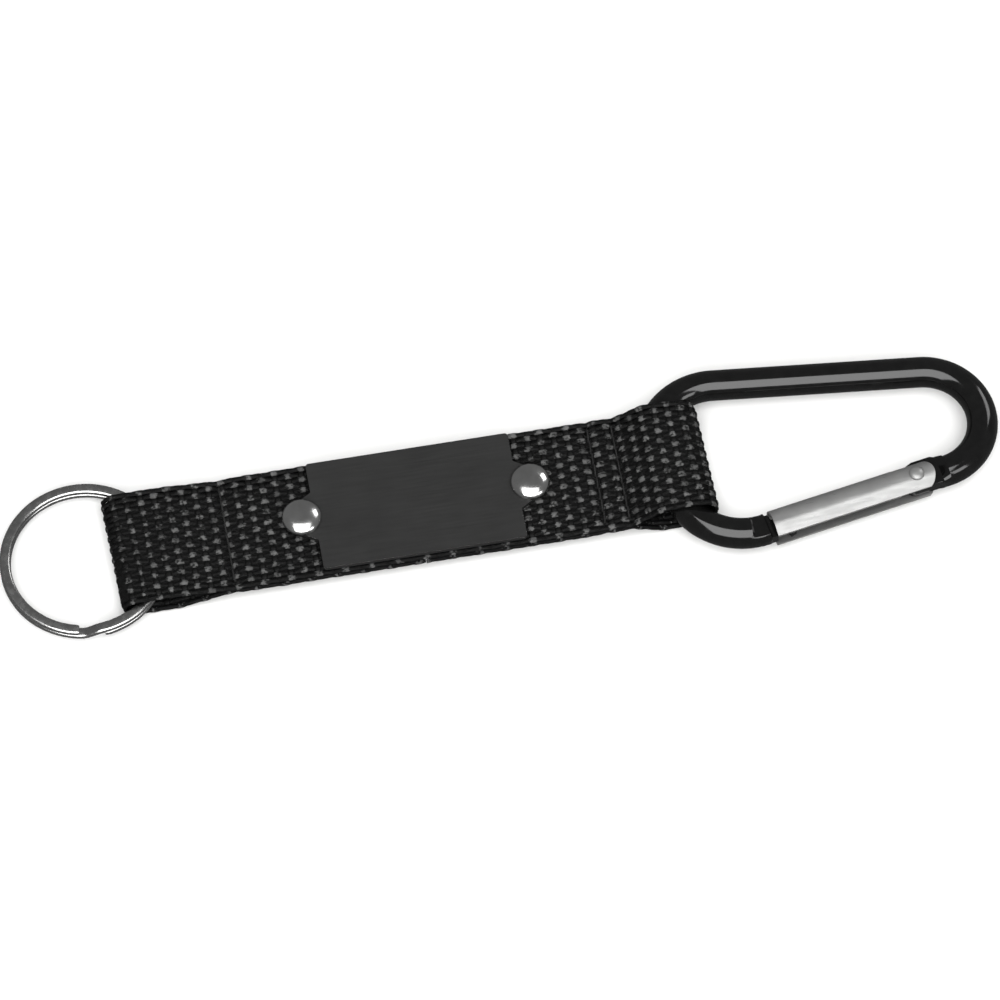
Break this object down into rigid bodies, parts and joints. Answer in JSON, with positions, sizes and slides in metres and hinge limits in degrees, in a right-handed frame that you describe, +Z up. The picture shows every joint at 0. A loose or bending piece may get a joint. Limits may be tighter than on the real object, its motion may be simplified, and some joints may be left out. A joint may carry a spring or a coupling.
{
  "type": "carabiner keyring",
  "caption": "Short webbing key strap with a split ring in one end, a spring-gate carabiner in the other and a riveted blank name plate.",
  "frame": {"origin": "on the surface that the keyring lies on, below the middle of its overall box", "axes": "+X along the strap from the split ring to the carabiner, +Y across it towards the carabiner's spine, +Z up through the name plate"},
  "size_m": [0.1628, 0.0324, 0.0082],
  "materials": {
    "webbing": "black woven polypropylene, slight sheen on the crowns of the yarns",
    "thread": "black sewing thread",
    "plate": "dark satin, fine brushed grain, bright cut edge",
    "nickel": "nickel plate, lightly worn",
    "black_anodised": "gloss black",
    "bright_aluminium": "bright, fine lengthwise grain",
    "spring_steel": "drawn wire"
  },
  "bodies": {
    "strap": {"webbing_middle": "webbing", "name_plate": "plate", "rivet_ring_side_head": "nickel", "rivet_ring_side_back": "nickel", "rivet_carabiner_side_head": "nickel", "rivet_carabiner_side_back": "nickel"},
    "ring_end": {"webbing_ring_loop": "webbing", "ring_seam_needle_thread": "thread", "ring_seam_bobbin_thread": "thread"},
    "carabiner_end": {"webbing_carabiner_loop": "webbing", "carabiner_seam_inner_needle_thread": "thread", "carabiner_seam_inner_bobbin_thread": "thread", "carabiner_seam_outer_needle_thread": "thread", "carabiner_seam_outer_bobbin_thread": "thread"},
    "key_ring": {"split_ring": "nickel"},
    "carabiner": {"carabiner_body": "black_anodised", "gate_hinge_rivet": "bright_aluminium"},
    "gate": {"gate_channel": "bright_aluminium", "gate_spring": "spring_steel"},
    "push_rod": {"gate_push_rod": "spring_steel"}
  },
  "joints": [
    {"name": "ring_end_flex", "type": "hinge", "parent": "strap", "child": "ring_end", "pos_m": [-0.03794, 0.00058, 0.0035], "axis": [0, 1, 0], "range_deg": [-60, 60], "stiffness_Nm_per_rad": 0.02},
    {"name": "carabiner_end_flex", "type": "hinge", "parent": "strap", "child": "carabiner_end", "pos_m": [0.01006, 0.00058, 0.0035], "axis": [0, -1, 0], "range_deg": [-60, 60], "stiffness_Nm_per_rad": 0.02},
    {"name": "ring_turn", "type": "hinge", "parent": "ring_end", "child": "key_ring", "pos_m": [-0.06794, 0.00058, 0.00265], "axis": [0, 0, 1], "continuous": true},
    {"name": "carabiner_swing", "type": "hinge", "parent": "carabiner_end", "child": "carabiner", "pos_m": [0.02166, 0.00058, 0.0041], "axis": [0, -1, 0], "range_deg": [-30, 30], "stiffness_Nm_per_rad": 0.01, "deforming": ["webbing_carabiner_loop"]},
    {"name": "gate_open", "type": "hinge", "parent": "carabiner", "child": "gate", "pos_m": [0.06604, -0.00909, 0.0041], "axis": [0, 0, -1], "range_deg": [0, 40], "stiffness_Nm_per_rad": 0.015, "springref_deg": -20.05},
    {"name": "rod_slide", "type": "slide", "parent": "gate", "child": "push_rod", "axis": [-0.9851, -0.1719, 0], "range_m": [0, 0.0009], "deforming": ["gate_spring"]}
  ],
  "couplings": [
    {"joint": "rod_slide", "follows": "gate_open", "m_per_rad": 0.00115}
  ]
}
